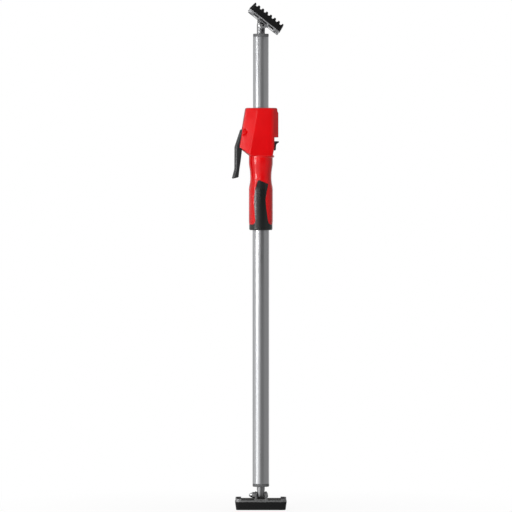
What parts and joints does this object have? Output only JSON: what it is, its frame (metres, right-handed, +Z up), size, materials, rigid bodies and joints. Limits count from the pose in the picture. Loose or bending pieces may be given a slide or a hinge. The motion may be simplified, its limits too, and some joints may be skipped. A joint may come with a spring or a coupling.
{
  "type": "telescopic support prop",
  "caption": "Telescopic steel support prop with a red pump grip, squeeze lever, release tab and a swivelling ribbed pad at each end, for bracing boards against ceilings or walls.",
  "frame": {"origin": "centre of the foot's underside, on the tube axis", "axes": "+Z up along the tubes, -X towards the pump lever, +X towards the release tab; the foot pivot runs along X and the head pivot along Y, both turned 5 degrees clockwise as seen from above, as the picture shows them against the housing"},
  "size_m": [0.1044, 0.0998, 0.946],
  "materials": {
    "tube_steel": "satin silver tube with fine lengthwise drawing marks",
    "cap_plastic": "dark grey moulded plastic",
    "turned_steel": "bright turned steel",
    "plate_steel": "pressed zinc-plated sheet",
    "pad_rubber": "matt black ribbed rubber",
    "zinc_steel": "bright zinc-plated fasteners",
    "red_plastic": "smooth semi-gloss red plastic",
    "soft_rubber": "soft-touch black grip, fine texture",
    "bush_plastic": "plain black bearing plastic",
    "black_plastic": "black moulded plastic with a satin sheen",
    "grip_steel": "hardened steel, dark",
    "spring_steel": "drawn spring wire"
  },
  "bodies": {
    "lower_frame": {"outer_tube": "tube_steel", "foot_end_cap": "cap_plastic", "foot_stem": "turned_steel", "housing_front": "red_plastic", "housing_back": "red_plastic", "housing_screws": "zinc_steel", "soft_grip": "soft_rubber", "lower_guide_bush": "bush_plastic", "upper_guide_bush": "bush_plastic", "lever_pivot_pin": "turned_steel", "pivot_pin_caps": "red_plastic", "drive_spring": "spring_steel", "lock_spring": "spring_steel"},
    "foot": {"foot_plate": "plate_steel", "foot_pad": "pad_rubber", "foot_pivot_bolt": "zinc_steel", "foot_cap_nut": "zinc_steel", "foot_washers": "zinc_steel"},
    "tube_guide": {"inner_tube_bush": "bush_plastic"},
    "inner_tube": {"inner_tube": "tube_steel", "head_end_cap": "cap_plastic", "head_stem": "turned_steel"},
    "head": {"head_plate": "plate_steel", "head_pad": "pad_rubber", "head_pivot_bolt": "zinc_steel", "head_cap_nut": "zinc_steel", "head_washers": "zinc_steel"},
    "pump_lever": {"lever": "black_plastic", "lever_roller": "turned_steel"},
    "drive_plate": {"drive_plate": "grip_steel"},
    "lock_plate": {"lock_plate": "grip_steel", "release_tab": "black_plastic"}
  },
  "joints": [
    {"name": "foot_tilt", "type": "hinge", "parent": "lower_frame", "child": "foot", "pos_m": [0, 0, 0.026], "axis": [0.9962, -0.0872, 0], "range_deg": [-45, 45]},
    {"name": "tube_extend", "type": "slide", "parent": "lower_frame", "child": "tube_guide", "axis": [0, 0, 1], "range_m": [-0.1, 0.39]},
    {"name": "tube_turn", "type": "hinge", "parent": "tube_guide", "child": "inner_tube", "pos_m": [0, 0, 0.19], "axis": [0, 0, 1], "continuous": true},
    {"name": "head_tilt", "type": "hinge", "parent": "inner_tube", "child": "head", "pos_m": [0, 0, 0.905], "axis": [0.0872, 0.9962, 0], "range_deg": [-83, 7]},
    {"name": "lever_squeeze", "type": "hinge", "parent": "lower_frame", "child": "pump_lever", "pos_m": [-0.0318, 0, 0.7048], "axis": [0, -1, 0], "range_deg": [0, 14], "stiffness_Nm_per_rad": 2, "springref_deg": -8.59},
    {"name": "drive_lift", "type": "slide", "parent": "lower_frame", "child": "drive_plate", "axis": [0, 0, 1], "range_m": [0, 0.0032], "deforming": ["drive_spring"]},
    {"name": "release_press", "type": "hinge", "parent": "lower_frame", "child": "lock_plate", "pos_m": [-0.0205, 0, 0.684], "axis": [0, -1, 0], "range_deg": [0, 5], "stiffness_Nm_per_rad": 2, "springref_deg": -8.59, "deforming": ["lock_spring"]}
  ],
  "couplings": [
    {"joint": "drive_lift", "follows": "lever_squeeze", "m_per_rad": 0.0124}
  ]
}
